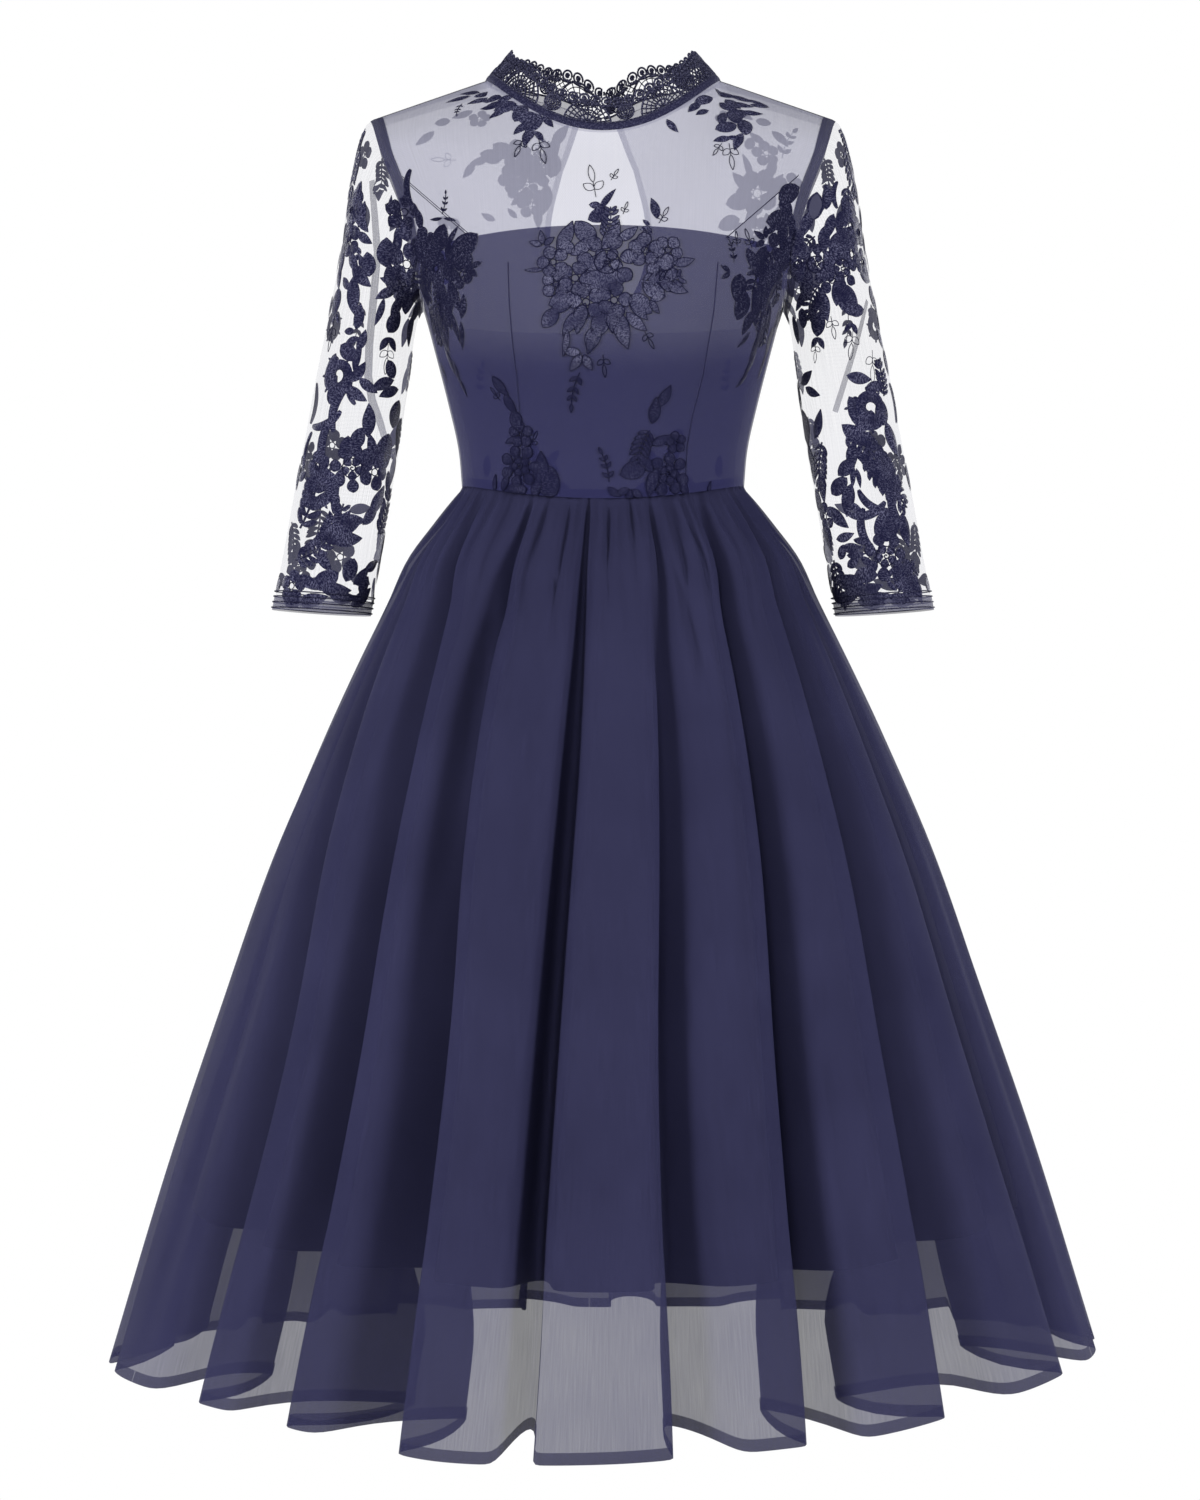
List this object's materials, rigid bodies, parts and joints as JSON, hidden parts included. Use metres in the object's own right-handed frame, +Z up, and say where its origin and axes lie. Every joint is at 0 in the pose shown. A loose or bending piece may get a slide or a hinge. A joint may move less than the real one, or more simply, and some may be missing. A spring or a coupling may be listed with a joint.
{
  "type": "cocktail dress",
  "caption": "Knee-length cocktail dress standing open as worn: lace stand collar, sheer yoke and sleeves, fitted bodice, gathered chiffon skirt over a lining.",
  "frame": {"origin": "middle of the line across the shoulders between the two side neck points, where a wearer carries the dress", "axes": "+Z up, -Y out of the dress's front, +X towards the wearer's left"},
  "size_m": [0.817, 0.6684, 1.107],
  "materials": {
    "lace": "matt corded guipure lace, dark navy",
    "button": "button covered in navy cloth",
    "net": "sheer navy net with thread embroidery",
    "bodice": "opaque navy lining cloth, soft satin",
    "chiffon": "sheer navy chiffon, matt, rolled hem",
    "lining": "opaque navy lining, faint sheen"
  },
  "bodies": {
    "root": {"collar_front": "lace", "collar_back_left": "lace", "collar_back_right": "lace", "collar_button": "button", "overlay_front": "net", "overlay_back_left": "net", "overlay_back_right": "net", "sleeve_left": "net", "sleeve_right": "net", "bodice_centre_front": "bodice", "bodice_side_front_left": "bodice", "bodice_side_front_right": "bodice", "bodice_back_left": "bodice", "bodice_back_right": "bodice", "skirt_chiffon_front": "chiffon", "skirt_chiffon_back_left": "chiffon", "skirt_chiffon_back_right": "chiffon", "skirt_lining_front": "lining", "skirt_lining_back_left": "lining", "skirt_lining_back_right": "lining"}
  },
  "joints": []
}
